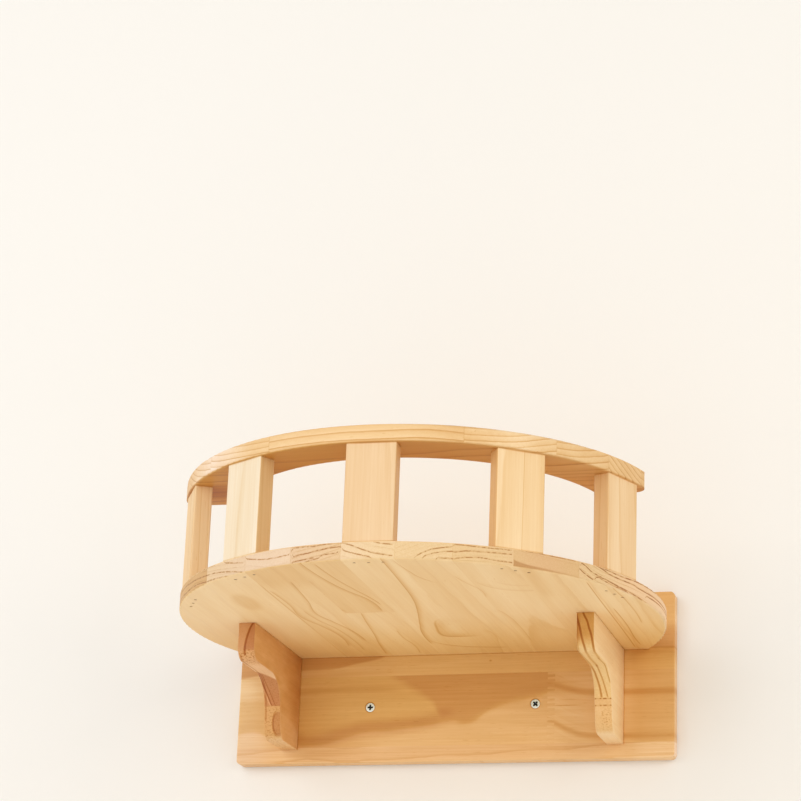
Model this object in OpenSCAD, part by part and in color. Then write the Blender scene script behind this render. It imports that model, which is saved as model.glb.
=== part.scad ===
// Half-round wall shelf for a cat: a deck on two brackets and a back board, with a guard rail on posts.
// +X runs along the wall, +Y goes into the wall and +Z is up.
// The origin lies on the wall's surface, midway between the two wall screws.

/* [Back board] */
// Width of the back board
board_w = 480; // [420:1:540]
// Height of the back board
board_h = 178; // [160:1:200]
// Thickness of the back board
board_t = 15; // [12:0.5:20]
// From the wall screws down to the board's bottom edge
board_below = 60; // [50:1:80]
// Radius of the board's corners, seen from the front
board_corner_r = 6; // [3:0.5:20]
// Radius of the board's eased edges
board_edge_r = 1.5; // [0.5:0.25:3]

/* [Deck] */
// Radius of the disc that the deck is cut from
deck_r = 250; // [225:1:280]
// Thickness of the deck
deck_t = 18; // [15:0.5:24]
// From the back board's front face to the disc's centre
deck_centre = 130; // [110:1:150]
// From the wall screws up to the deck's underside
deck_rise = 56; // [45:1:65]
// Radius of the deck's eased rim
deck_edge_r = 2; // [0.5:0.25:4]

/* [Guard rail] */
// Width of the curved rail
rail_w = 53; // [35:1:65]
// Thickness of the rail
rail_t = 18; // [14:0.5:24]
// How far the rail's outer edge lies inside the deck's edge
rail_inset = 0; // [0:0.5:10]
// From the disc's centre forward to the rail's straight ends
rail_end_ahead = 61; // [40:1:75]
// Radius of the rail's outer end corners
rail_corner_r = 12; // [4:0.5:18]
// Radius of the rail's inner end corners
rail_inner_corner_r = 6; // [2:0.5:10]
// Radius of the rail's eased edges
rail_edge_r = 2; // [0.5:0.25:4]
// Turn of the rail and its posts on the deck, seen from above
rail_turn = 2.6; // [0:0.1:4]

/* [Posts] */
// Width of a post along the rail
post_w = 50; // [36:1:60]
// Thickness of a post
post_t = 18; // [14:0.5:24]
// Height of a post between deck and rail
post_h = 98.5; // [80:0.5:130]
// From the rail's outer edge in to a post's outer face
post_setback = 2.5; // [2:0.5:8]
// Angle from the front post to its neighbours
post_angle_near = 34; // [28:0.5:38]
// Angle from the front post to the side posts
post_angle_side = 64; // [58:0.5:66]
// Radius of a post's eased long edges
post_edge_r = 1.5; // [0.5:0.25:3]

/* [Brackets] */
// From the board's middle to the left bracket's outer face
bracket_left_out = 189; // [160:1:195]
// From the board's middle to the right bracket's outer face
bracket_right_out = 186; // [160:1:195]
// Thickness of a bracket
bracket_t = 18; // [14:0.5:24]
// How far a bracket's arm reaches out from the back board
bracket_reach = 160; // [145:1:180]
// How far a bracket reaches down from the deck
bracket_drop = 101; // [85:1:110]
// Height of a bracket's arm
arm_h = 38; // [30:1:44]
// Radius under the arm's nose
nose_r = 14; // [6:1:20]
// Depth of the leg at its foot, before the toe is rounded
leg_d = 59; // [45:1:70]
// How much deeper the leg is where it meets the arm
leg_taper = 12; // [2:1:16]
// Radius of the hollow between arm and leg
hollow_r = 34; // [15:1:40]
// Radius of the leg's toe
toe_r = 14; // [6:1:20]

/* [Wall screws] */
// Distance between the two wall screws
wall_screw_spacing = 182; // [140:1:260]
// Length of a wall screw
wall_screw_len = 50; // [40:1:70]
// Diameter of a wall screw's head
wall_head_d = 10; // [9:0.25:12]
// Diameter over a wall screw's thread
wall_thread_d = 5; // [4.5:0.1:6]
// Diameter of a wall screw's plain neck
wall_neck_d = 4.4; // [3.5:0.1:4.4]
// How far a wall screw's head is sunk below the board's face
wall_head_sunk = 0.4; // [0:0.1:1]
// Turn of the cross in the left and in the right wall screw
wall_cross_turn = [0, 45];

/* [Assembly screws] */
// Length of an assembly screw
screw_len = 40; // [30:1:48]
// Diameter of an assembly screw's head
head_d = 8; // [6.5:0.25:9]
// Diameter over an assembly screw's thread
thread_d = 4; // [3.4:0.1:4.5]
// Diameter of an assembly screw's plain neck
neck_d = 3.4; // [2.5:0.1:3.4]
// How far an assembly screw's head is sunk below the wood
head_sunk = 0.4; // [0:0.1:1]
// Length of the pointed tip of every screw
screw_tip = 4; // [2:0.5:6]
// Height of the upright rim of a screw head
head_rim = 0.5; // [0.3:0.1:1]
// Width of a cross slot
cross_w = 1.2; // [0.8:0.1:1.6]
// Depth of a cross slot
cross_depth = 1.8; // [1:0.1:2]
// Length of a cross slot as a share of the head's diameter
cross_span = 0.54; // [0.45:0.01:0.56]
// Distance of the outer deck screws from the middle one
deck_screw_step = 120; // [60:1:150]
// Height below the deck of the lower screw through the board into a bracket
leg_screw_drop = 72; // [55:1:75]
// From the back board's face to the first screw down into a bracket's arm
arm_screw_near = 48; // [40:1:60]
// From the back board's face to the second screw down into a bracket's arm
arm_screw_far = 126; // [90:1:130]

/* [Nails] */
// Length of a nail through the deck into a post
post_nail_len = 36; // [28:1:45]
// Length of a nail through the rail into a post
rail_nail_len = 36; // [28:1:45]
// Diameter of a nail
nail_d = 1.8; // [1.4:0.1:2.5]
// Diameter of a nail's head
nail_head_d = 3; // [2.6:0.1:4]
// Thickness of a nail's head
nail_head_t = 0.8; // [0.5:0.1:1.5]
// Length of a nail's point
nail_tip = 2; // [1:0.5:3]
// How far a nail's head is sunk below the wood
nail_sunk = 0.3; // [0:0.1:1]
// Distance of the outer nails from the middle of a post
nail_step = 14; // [8:0.5:14]

/* [Fit] */
// Clearance round every screw and nail
fit_gap = 0.1; // [0.05:0.05:0.15]

/* [Hidden] */
$fn = 96;

PINE = "burlywood";
PALE_PINE = "wheat";
ZINC = "gainsboro";
STEEL = "dimgray";

// A cutter or a mask reaches this far past what it cuts
past = 5;
face_y = -board_t;
deck_z = deck_rise;
deck_top_z = deck_z + deck_t;
rail_z = deck_top_z + post_h;
disc_y = face_y - deck_centre;
rail_r = deck_r - rail_inset;
rail_inner_r = rail_r - rail_w;
post_r = rail_r - post_setback - post_t / 2;
post_angles = [-post_angle_side, -post_angle_near, 0, post_angle_near, post_angle_side];
bracket_left_x = bracket_t / 2 - bracket_left_out;
bracket_right_x = bracket_right_out - bracket_t / 2;
function bracket_x(side) = side < 0 ? bracket_left_x : bracket_right_x;

// Rectangle with true round corners, centred on the origin
module round_rect(w, h, r) {
    square([w - 2 * r, h], center = true);
    square([w, h - 2 * r], center = true);
    for (x = [-1, 1], y = [-1, 1])
        translate([x * (w / 2 - r), y * (h / 2 - r)]) circle(r);
}

// Board with round corners in front view and eased edges all round, centred on the origin, thick along Y
module eased_board(w, h, t, corner_r, edge_r) {
    intersection() {
        rotate([90, 0, 0]) linear_extrude(t, center = true) round_rect(w, h, corner_r);
        linear_extrude(h + 2 * past, center = true) round_rect(w, t, edge_r);
        rotate([90, 0, 90]) linear_extrude(w + 2 * past, center = true) round_rect(t, h, edge_r);
    }
}

// Ring or disc with an eased rim, lying on z = 0
module eased_ring(inner_r, outer_r, t, edge_r) {
    rotate_extrude($fn = 192) {
        translate([inner_r, edge_r]) square([outer_r - inner_r, t - 2 * edge_r]);
        translate([inner_r + (inner_r > 0 ? edge_r : 0), 0])
            square([outer_r - edge_r - inner_r - (inner_r > 0 ? edge_r : 0), t]);
        for (z = [edge_r, t - edge_r]) {
            translate([outer_r - edge_r, z]) circle(edge_r, $fn = 32);
            if (inner_r > 0) translate([inner_r + edge_r, z]) circle(edge_r, $fn = 32);
        }
    }
}

// Screw with a countersunk head at z = 0, pointing down; grow widens it into the cutter for its hole
module screw_form(len, head_d, neck_d, thread_d, neck_len, grow = 0) {
    cone_h = (head_d - neck_d) / 2;
    rise = grow > 0 ? past : 0;
    rotate_extrude($fn = 48) polygon([
        [0, rise], [head_d / 2 + grow, rise],
        [head_d / 2 + grow, -head_rim - grow], [neck_d / 2 + grow, -head_rim - cone_h - grow],
        [neck_d / 2 + grow, -neck_len], [thread_d / 2 + grow, -neck_len],
        [thread_d / 2 + grow, -len + screw_tip - grow], [0, -len - 2 * grow]
    ]);
}

// The same screw with its cross recess
module screw(len, head_d, neck_d, thread_d, neck_len, turn = 0) {
    difference() {
        screw_form(len, head_d, neck_d, thread_d, neck_len);
        for (a = [0, 90]) rotate(turn + a)
            cube([head_d * cross_span, cross_w, 2 * cross_depth], center = true);
    }
}

// Round-shanked nail with its head at z = 0, pointing down; grow widens it into the cutter for its hole
module nail_form(len, grow = 0) {
    rise = grow > 0 ? past : 0;
    rotate_extrude($fn = 32) polygon([
        [0, rise], [nail_head_d / 2 + grow, rise],
        [nail_head_d / 2 + grow, -nail_head_t - grow], [nail_d / 2 + grow, -nail_head_t - grow],
        [nail_d / 2 + grow, -len + nail_tip - grow], [0, -len - 2 * grow]
    ]);
}

// Wall screw on one side, through the back board into the wall
module wall_screw(side, grow = 0) {
    translate([side * wall_screw_spacing / 2, face_y + wall_head_sunk, 0]) rotate([90, 0, 0])
        if (grow > 0)
            screw_form(wall_screw_len, wall_head_d, wall_neck_d, wall_thread_d,
                board_t - wall_head_sunk - past, grow);
        else
            screw(wall_screw_len, wall_head_d, wall_neck_d, wall_thread_d,
                board_t - wall_head_sunk, wall_cross_turn[side < 0 ? 0 : 1]);
}

// Assembly screw with its head in the back board's rear, pointing away from the wall
module rear_screw(x, z, grow = 0) {
    translate([x, -head_sunk, z]) rotate([-90, 0, 0])
        if (grow > 0) screw_form(screw_len, head_d, neck_d, thread_d, board_t - head_sunk - past, grow);
        else screw(screw_len, head_d, neck_d, thread_d, board_t - head_sunk);
}

// Assembly screw down through the deck into a bracket's arm
module arm_screw(x, y, grow = 0) {
    translate([x, y, deck_top_z - head_sunk])
        if (grow > 0) screw_form(screw_len, head_d, neck_d, thread_d, deck_t - head_sunk - past, grow);
        else screw(screw_len, head_d, neck_d, thread_d, deck_t - head_sunk);
}

module deck_screws(grow = 0) {
    for (x = [-deck_screw_step, 0, deck_screw_step]) rear_screw(x, deck_z + deck_t / 2, grow);
}

module bracket_rear_screws(side, grow = 0) {
    for (drop = [arm_h / 2, leg_screw_drop]) rear_screw(bracket_x(side), deck_z - drop, grow);
}

module bracket_arm_screws(side, grow = 0) {
    for (out = [arm_screw_near, arm_screw_far]) arm_screw(bracket_x(side), face_y - out, grow);
}

// Puts a child at a post's middle, with +Y pointing at the disc's centre
module at_post(i) {
    translate([0, disc_y, 0]) rotate(rail_turn + post_angles[i]) translate([0, -post_r, 0]) children();
}

module post_nails(i, grow = 0) {
    at_post(i) for (x = [-nail_step, 0, nail_step])
        translate([x, 0, deck_z + nail_sunk]) rotate([180, 0, 0]) nail_form(post_nail_len, grow);
}

module rail_nails(i, grow = 0) {
    at_post(i) for (x = [-nail_step, nail_step])
        translate([x, 0, rail_z + rail_t - nail_sunk]) nail_form(rail_nail_len, grow);
}

module back_board() {
    color(PINE) difference() {
        translate([0, -board_t / 2, board_h / 2 - board_below])
            eased_board(board_w, board_h, board_t, board_corner_r, board_edge_r);
        for (side = [-1, 1]) {
            wall_screw(side, fit_gap);
            bracket_rear_screws(side, fit_gap);
        }
        deck_screws(fit_gap);
    }
}

module deck() {
    color(PALE_PINE) difference() {
        translate([0, disc_y, deck_z]) eased_ring(0, deck_r, deck_t, deck_edge_r);
        translate([-deck_r - past, face_y, deck_z - past])
            cube([2 * (deck_r + past), deck_r, deck_t + 2 * past]);
        deck_screws(fit_gap);
        for (side = [-1, 1]) bracket_arm_screws(side, fit_gap);
        for (i = [0 : 4]) post_nails(i, fit_gap);
    }
}

// Seen from above, all that lies inside the rail's two ends with their outer corners rounded.
// Each corner's circle touches the rail's outer arc from inside and the straight end.
module rail_end_mask() {
    r = rail_corner_r;
    cy = rail_end_ahead + r;
    cx = sqrt(pow(rail_r - r, 2) - pow(cy, 2));
    reach = 2 * rail_r;
    intersection() {
        translate([-rail_r, -rail_end_ahead - rail_r]) square([2 * rail_r, rail_r]);
        union() {
            polygon([[0, 0], [-cx, -cy] * reach / rail_r, [0, -2 * reach], [cx, -cy] * reach / rail_r]);
            translate([-cx, -cy]) square([2 * cx, r]);
            for (side = [-1, 1]) translate([side * cx, -cy]) circle(r);
        }
    }
}

// Seen from above, the inner end corner on the right that rounding takes away.
// The corner's circle touches the rail's inner arc from outside and the straight end.
module rail_inner_corner_cut() {
    r = rail_inner_corner_r;
    cy = rail_end_ahead + r;
    cx = sqrt(pow(rail_inner_r + r, 2) - pow(cy, 2));
    touch = rail_inner_r / (rail_inner_r + r);
    corner_x = sqrt(pow(rail_inner_r, 2) - pow(rail_end_ahead, 2));
    difference() {
        polygon([[cx, -cy], [cx, past - rail_end_ahead], [corner_x - past, past - rail_end_ahead],
            [cx, -cy] * touch - [past * cx, -past * cy] / rail_r]);
        translate([cx, -cy]) circle(r);
    }
}

module top_rail() {
    color(PALE_PINE) difference() {
        translate([0, disc_y, rail_z]) rotate(rail_turn) difference() {
            intersection() {
                eased_ring(rail_inner_r, rail_r, rail_t, rail_edge_r);
                linear_extrude(rail_t + past) rail_end_mask();
            }
            for (side = [0, 1]) mirror([side, 0, 0])
                translate([0, 0, -past]) linear_extrude(rail_t + 2 * past) rail_inner_corner_cut();
        }
        for (i = [0 : 4]) rail_nails(i, fit_gap);
    }
}

module post(i) {
    color(PALE_PINE) difference() {
        at_post(i) translate([0, 0, deck_top_z])
            linear_extrude(post_h) round_rect(post_w, post_t, post_edge_r);
        post_nails(i, fit_gap);
        rail_nails(i, fit_gap);
    }
}

// Side view of a bracket: out from the board along +X, and down from the deck along -Y.
// The leg's front leans back to the toe; the hollow's circle touches the arm and the leg.
module bracket_profile() {
    lean = atan(leg_taper / (bracket_drop - arm_h));
    out = [cos(lean), -sin(lean)];
    function front(y) = leg_d + (y + bracket_drop) * tan(lean);
    toe = [front(toe_r - bracket_drop) - toe_r / cos(lean), toe_r - bracket_drop];
    hollow = [front(-arm_h - hollow_r) + hollow_r / cos(lean), -arm_h - hollow_r];
    translate([0, -arm_h]) square([bracket_reach - nose_r, arm_h]);
    translate([0, nose_r - arm_h]) square([bracket_reach, arm_h - nose_r]);
    translate([bracket_reach - nose_r, nose_r - arm_h]) circle(nose_r);
    polygon([[0, -bracket_drop], [toe[0], -bracket_drop], toe, toe + toe_r * out,
        [front(past - arm_h), past - arm_h], [0, past - arm_h]]);
    translate(toe) circle(toe_r);
    difference() {
        polygon([hollow - (hollow_r + past) * out, hollow - hollow_r * out, hollow,
            [hollow[0], past - arm_h], [front(-arm_h) - past, past - arm_h]]);
        translate(hollow) circle(hollow_r);
    }
}

module bracket(side) {
    color(PINE) difference() {
        translate([bracket_x(side) + bracket_t / 2, face_y, deck_z])
            rotate([90, 0, -90]) linear_extrude(bracket_t) bracket_profile();
        bracket_rear_screws(side, fit_gap);
        bracket_arm_screws(side, fit_gap);
    }
}

back_board();
deck();
top_rail();
post(0);  // post_1
post(1);  // post_2
post(2);  // post_3
post(3);  // post_4
post(4);  // post_5
bracket(-1);  // bracket_left
bracket(1);  // bracket_right
color(ZINC) wall_screw(-1);  // wall_screw_left
color(ZINC) wall_screw(1);  // wall_screw_right
color(ZINC) deck_screws();  // deck_back_screws
color(ZINC) bracket_rear_screws(-1);  // bracket_back_screws_left
color(ZINC) bracket_rear_screws(1);  // bracket_back_screws_right
color(ZINC) bracket_arm_screws(-1);  // bracket_arm_screws_left
color(ZINC) bracket_arm_screws(1);  // bracket_arm_screws_right
color(STEEL) post_nails(0);  // post_nails_1
color(STEEL) post_nails(1);  // post_nails_2
color(STEEL) post_nails(2);  // post_nails_3
color(STEEL) post_nails(3);  // post_nails_4
color(STEEL) post_nails(4);  // post_nails_5
color(STEEL) rail_nails(0);  // rail_nails_1
color(STEEL) rail_nails(1);  // rail_nails_2
color(STEEL) rail_nails(2);  // rail_nails_3
color(STEEL) rail_nails(3);  // rail_nails_4
color(STEEL) rail_nails(4);  // rail_nails_5
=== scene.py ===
"""Looks of the cat wall shelf: pine, screws and nails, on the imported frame. Lengths in materials are in mm."""
import math

import bmesh
import bpy
from mathutils import Matrix, Vector

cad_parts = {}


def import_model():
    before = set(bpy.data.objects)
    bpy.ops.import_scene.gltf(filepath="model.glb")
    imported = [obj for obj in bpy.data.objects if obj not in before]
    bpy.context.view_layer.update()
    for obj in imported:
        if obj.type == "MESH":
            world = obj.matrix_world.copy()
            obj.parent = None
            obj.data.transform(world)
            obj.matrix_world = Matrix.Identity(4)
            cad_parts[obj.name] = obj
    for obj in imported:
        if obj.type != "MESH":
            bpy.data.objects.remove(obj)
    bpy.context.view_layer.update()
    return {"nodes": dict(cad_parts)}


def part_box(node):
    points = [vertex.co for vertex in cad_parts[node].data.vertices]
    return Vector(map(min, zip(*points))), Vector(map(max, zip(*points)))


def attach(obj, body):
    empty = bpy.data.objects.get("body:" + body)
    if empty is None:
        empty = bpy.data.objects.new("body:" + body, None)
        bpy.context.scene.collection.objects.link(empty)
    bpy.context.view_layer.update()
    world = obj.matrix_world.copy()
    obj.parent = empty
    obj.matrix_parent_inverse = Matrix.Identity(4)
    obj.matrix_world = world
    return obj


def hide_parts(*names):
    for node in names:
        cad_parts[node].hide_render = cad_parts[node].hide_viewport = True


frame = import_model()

nodes = frame["nodes"]
scene = bpy.context.scene
MM = 0.001

# Sizes repeated from the part's source, in mm.
DECK_R, DECK_CENTRE_Y = 250, -145
DECK_LOW, DECK_TOP = 56, 74
RAIL_LOW, RAIL_TOP = 172.5, 190.5
POST_R, RAIL_TURN = 238.5, 2.6
POST_ANGLES = [-64, -34, 0, 34, 64]
BRACKET_MID_LEFT, BRACKET_MID_RIGHT = -180, 177
STRIP_W = 52.5


# ---------------------------------------------------------------- values in a node tree

class Val:
    """A number at some point of a node tree. Arithmetic on it adds Math nodes."""

    def __init__(self, net, socket):
        self.net, self.socket = net, socket

    def __add__(self, o): return self.net.math("ADD", self, o)
    def __radd__(self, o): return self.net.math("ADD", o, self)
    def __sub__(self, o): return self.net.math("SUBTRACT", self, o)
    def __rsub__(self, o): return self.net.math("SUBTRACT", o, self)
    def __mul__(self, o): return self.net.math("MULTIPLY", self, o)
    def __rmul__(self, o): return self.net.math("MULTIPLY", o, self)
    def __truediv__(self, o): return self.net.math("DIVIDE", self, o)
    def __pow__(self, o): return self.net.math("POWER", self, o)
    def __rpow__(self, o): return self.net.math("POWER", o, self)
    def abs(self): return self.net.math("ABSOLUTE", self)
    def floor(self): return self.net.math("FLOOR", self)
    def fract(self): return self.net.math("FRACT", self)
    def root(self): return self.net.math("SQRT", self)
    def over(self, o): return self.net.math("GREATER_THAN", self, o)
    def least(self, o): return self.net.math("MINIMUM", self, o)
    def most(self, o): return self.net.math("MAXIMUM", self, o)

    def rise(self, lo, hi, a=0.0, b=1.0):
        """Goes smoothly from a to b as the value goes from lo to hi, and stays there."""
        n = self.net.new("ShaderNodeMapRange", interpolation_type="SMOOTHSTEP")
        for k, x in zip(("Value", "From Min", "From Max", "To Min", "To Max"), (self, lo, hi, a, b)):
            self.net.put(n.inputs[k], x)
        return Val(self.net, n.outputs[0])

    def bump_at(self, middle, half):
        """1 at the middle, falling smoothly to 0 at half to each side."""
        return (self - middle).abs().rise(0, half, 1, 0)


class Net:
    """Builds one material's nodes."""

    def __init__(self, name):
        self.material = bpy.data.materials.new(name)
        self.material.use_nodes = True
        self.tree = self.material.node_tree
        self.tree.nodes.clear()
        self.out = self.new("ShaderNodeOutputMaterial")

    def new(self, kind, **props):
        n = self.tree.nodes.new(kind)
        for k, v in props.items():
            setattr(n, k, v)
        return n

    def put(self, socket, x):
        if isinstance(x, Val):
            self.tree.links.new(x.socket, socket)
        else:
            socket.default_value = x

    def math(self, op, *xs):
        n = self.new("ShaderNodeMath", operation=op)
        for s, x in zip(n.inputs, xs):
            self.put(s, x)
        return Val(self, n.outputs[0])

    def vec(self, x, y, z):
        n = self.new("ShaderNodeCombineXYZ")
        for s, v in zip(n.inputs, (x, y, z)):
            self.put(s, v)
        return Val(self, n.outputs[0])

    def place(self):
        """The three coordinates in the part's frame, in mm."""
        at = self.new("ShaderNodeTexCoord").outputs["Object"]
        n = self.new("ShaderNodeSeparateXYZ")
        self.tree.links.new(at, n.inputs[0])
        return [Val(self, s) * 1000 for s in n.outputs]

    def facing(self, axis):
        """How far the surface faces along the frame's X, Y or Z, from -1 to 1."""
        n = self.new("ShaderNodeSeparateXYZ")
        self.tree.links.new(self.new("ShaderNodeNewGeometry").outputs["Normal"], n.inputs[0])
        return Val(self, n.outputs[axis])

    def noise(self, x, y, z, detail=1.0, rough=0.5):
        """Smooth noise round 0, about -0.5 to 0.5. One unit of the coordinates is one blob."""
        n = self.new("ShaderNodeTexNoise")
        self.put(n.inputs["Vector"], self.vec(x, y, z))
        n.inputs["Scale"].default_value = 1.0
        n.inputs["Detail"].default_value = detail
        n.inputs["Roughness"].default_value = rough
        return Val(self, n.outputs["Fac"]) - 0.5

    def chance(self, x):
        """A fixed random number from 0 to 1 for each whole x."""
        n = self.new("ShaderNodeTexWhiteNoise", noise_dimensions="1D")
        self.put(n.inputs["W"], x)
        return Val(self, n.outputs["Value"])

    def curve(self, x, x0, x1, y0, y1, points, straight=False):
        """A curve through points (x, y), both in mm, held flat past its ends. It is smooth or of straight pieces."""
        n = self.new("ShaderNodeFloatCurve")
        c = n.mapping.curves[0]
        for k, (px, py) in enumerate(points):
            spot = ((px - x0) / (x1 - x0), (py - y0) / (y1 - y0))
            if k < 2:
                c.points[k].location = spot
            else:
                c.points.new(*spot)
        for q in c.points:
            q.handle_type = "VECTOR" if straight else "AUTO"
        n.mapping.update()
        self.put(n.inputs["Value"], (x - x0) / (x1 - x0))
        return Val(self, n.outputs[0]) * (y1 - y0) + y0

    def table(self, index, rows, scale):
        """Looks up row number index. Each row has up to 4 numbers, which are kept within 0 to 1 by scale (low, high)."""
        n = self.new("ShaderNodeValToRGB")
        r = n.color_ramp
        r.interpolation = "CONSTANT"
        count = len(rows)
        for k, row in enumerate(rows):
            e = r.elements[k] if k < 2 else r.elements.new(k / count)
            e.position = k / count
            e.color = [(v - lo) / (hi - lo) for v, (lo, hi) in zip(row, scale)] + [0] * (4 - len(row))
        self.put(n.inputs[0], (index + 0.5) / count)
        s = self.new("ShaderNodeSeparateColor")
        self.tree.links.new(n.outputs["Color"], s.inputs[0])
        found = list(s.outputs) + [n.outputs["Alpha"]]
        return [Val(self, o) * (hi - lo) + lo for o, (lo, hi) in zip(found, scale)]

    def colour(self, r, g, b):
        n = self.new("ShaderNodeCombineColor")
        for s, v in zip(n.inputs, (r, g, b)):
            self.put(s, v)
        return n.outputs[0]

    def bumped(self, height, distance, strength):
        n = self.new("ShaderNodeBump")
        n.inputs["Strength"].default_value = strength
        n.inputs["Distance"].default_value = distance
        self.put(n.inputs["Height"], height)
        return n.outputs[0]

    def finish(self, **inputs):
        """The shader. Plain numbers go on its own sockets."""
        n = self.new("ShaderNodeBsdfPrincipled")
        for k, v in inputs.items():
            s = n.inputs[k.replace("_", " ")]
            if isinstance(v, bpy.types.NodeSocket):
                self.tree.links.new(v, s)
            else:
                self.put(s, v)
        self.tree.links.new(n.outputs[0], self.out.inputs[0])
        return self.material


# ---------------------------------------------------------------- pine

# How much each further step of darkness takes from red, green and blue, as oil and resin do.
DARKER = (0.80, 0.645, 0.43)


def pine_dark(n, u, v, w, seed, pith_v, pith_w, lean_v, lean_w, ring, phase, sway=1.0, line=1.0, fine=1.0):
    """The darkness and the relief of pine at u along the grain, v and w across it. The growth rings are
    round a pith at (pith_v, pith_w) that leans along the grain. Each ring darkens and then ends sharply."""
    bend = n.noise(u * 0.007, v * 0.012 + seed, w * 0.012, detail=1.5) * (14 * sway)
    bend_w = n.noise(u * 0.009 + 31, v * 0.016 + seed, w * 0.016, detail=1) * (6 * sway)
    ripple = n.noise(u * 0.06, v * 0.15 + seed, w * 0.15, detail=2) * (0.9 * sway)
    dv = v - pith_v - lean_v * u + bend
    dw = w - pith_w - lean_w * u + bend_w
    r = (dv * dv + dw * dw).root() + ripple
    q = r / ring + phase + n.noise(r * 0.035, seed, 0.0, detail=0) * 1.2
    year = q.floor()
    f = q - year
    power = n.chance(year + seed * 7) * 0.6 + 0.4
    late = (f.rise(0.66, 0.965) ** 2.2) * f.rise(0.968, 1.0, 1, 0)
    soft = f.rise(0.1, 0.95) * 0.16
    broad = n.noise(u * 0.005, v * 0.045 + seed, w * 0.045, detail=2) * 0.7
    streak = n.noise(u * 0.006, v * 0.42 + seed, w * 0.42, detail=2, rough=0.6) * (0.38 * fine)
    fibre = n.noise(u * 0.03, v * 2.4 + seed, w * 2.4, detail=2, rough=0.6)
    dash = n.noise(u * 0.09, v * 1.1 + seed, w * 1.1, detail=0).rise(0.24, 0.33)
    some = n.noise(u * 0.012, v * 0.05 + seed + 9, w * 0.05, detail=0).rise(0.0, 0.2)
    dark = late * power * line + soft * line + broad + streak + fibre * (0.4 * fine) + dash * some * (0.6 * fine)
    height = fibre * 0.5 + late * 0.35 - dash * some * 0.5
    return dark, height, late, fibre


def pine_finish(n, base, dark, height, late, fibre, red=0.0):
    """The oiled wood. base is the colour (linear) of its pale early wood, dark how many steps it is darkened
    and red how much it turns to reddish brown."""
    tint = [1.0 - red * c for c in (0.21, 0.40, 0.27)]
    colour = n.colour(*[(k ** dark) * c * t for k, c, t in zip(DARKER, base, tint)])
    return n.finish(Base_Color=colour, Roughness=fibre * 0.16 - late * 0.07 + 0.5, Specular_IOR_Level=0.4,
                    Normal=n.bumped(height, 0.00012, 0.55))


def joint(n, x, half=0.35):
    """A glue line at x = 0, a hair of dark."""
    return x.abs().rise(0, half, 1, 0)


def edge_of(n, d, wide=5.0, hard=0.5):
    """The edge of a ring of late wood where d = 0: dark at once, then fading over wide mm to the side where d grows."""
    return d.rise(-0.3, 0.3) * (d.rise(0.2, 1.7, hard, 0) + (d.rise(0, wide, 1, 0) ** 1.6) * (1 - hard))


def along(n, across, run, x0, x1, y0, y1, points, wide=5.0, side=1.0):
    """A late wood edge that follows the curve across = f(run), between the first and the last of its points."""
    d = (across - n.curve(run, x0, x1, y0, y1, points)) * side
    first, last = points[0][0], points[-1][0]
    ends = run.rise(first, first + 14) * run.rise(last - 14, last, 1, 0)
    return edge_of(n, d, wide) * ends


def oval(x, y, at_x, at_y, half_x, half_y):
    """How far out a point is from an oval's middle, 1 on its edge."""
    a, b = (x - at_x) / half_x, (y - at_y) / half_y
    return (a * a + b * b).root()


# The boldest lines on the deck's rim, in four layers of points (x, z). Where a layer has no line it is off the rim.
RIM_LINES = [
    [(-197, 82), (-196, 73.8), (-184, 72.7), (-160, 72), (-159, 82), (-142, 82), (-141, 73.3), (-119.6, 72.8), (-119, 68.7),
     (-113, 67.4), (-104, 65.6), (-95, 64.4), (-82, 64.4), (-67, 65.7), (-66, 71.1), (-55, 71.5), (-42, 71.1), (-36, 71.9),
     (-22, 72.5), (-14.2, 72.4), (-13.6, 72.6), (-4, 69.7), (6, 65.4), (16, 61.8), (26, 60), (38.2, 58.2), (39, 50),
     (54, 50), (55, 56.9), (62, 61.6), (71, 66), (80, 67.8), (90.6, 69.4), (91.3, 72), (114, 71), (143, 71.4), (143.8, 82),
     (150, 82), (151, 72.6), (178, 72.1), (195, 72.3), (196, 82), (206, 82), (207, 73.6), (214, 72.3), (221, 70.8),
     (228, 70.1), (236, 71.6), (246, 72)],
    [(-150, 82), (-148, 71), (-135, 68), (-120, 65), (-119, 82), (-67, 82), (-66, 62.4), (-57, 64.3), (-48, 64.9), (-37, 67),
     (-30, 67.7), (-17, 68.9), (-14, 69), (-13, 65.1), (-4, 62.4), (6, 59.8), (14, 58), (20, 52), (60, 52), (65, 59.3),
     (73, 62), (80, 63.8), (90.6, 65), (91.2, 64.1), (102, 66.3), (124, 66.9), (143, 67.4), (144, 82), (200, 82), (201, 74),
     (206, 73.7), (212, 71.9), (218, 68.2), (226, 66.8), (234, 67.2), (239, 65.6), (246, 66)],
    [(-215, 67), (-196, 66.3), (-181, 65.3), (-161, 63.8), (-147, 61.7), (-131, 58.4), (-118, 55), (-52, 55), (-50, 56.8),
     (-44, 57.7), (-37, 59), (-34, 61.6), (-27, 62.3), (-19, 62.7), (-14, 66), (-13, 82), (15, 82), (16, 72.5), (26, 70.6),
     (38, 69.6), (39, 52), (75, 52), (76, 58.2), (90.6, 57.6), (91.4, 57.7), (99, 59.6), (114, 61), (129, 59.7), (143, 59.4),
     (144, 52), (194, 52), (196, 72.7), (201, 69.2), (205, 65.2), (212, 62.8), (218, 61.1), (223, 59.7), (236, 57)],
    [(-215, 60), (-187, 60.2), (-172, 58.2), (-159, 57.8), (-145, 56.6), (-130, 52), (-67, 52), (-65, 57.8), (-50, 58.9),
     (-41, 60), (-38, 52), (193, 52), (195, 66.5), (198, 63.2), (204, 59.1), (208, 57.3), (209, 63), (214, 60.3), (221, 58.1),
     (232, 57.3), (233, 52), (240, 52), (241, 62.2), (250, 63.4)]]


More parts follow.
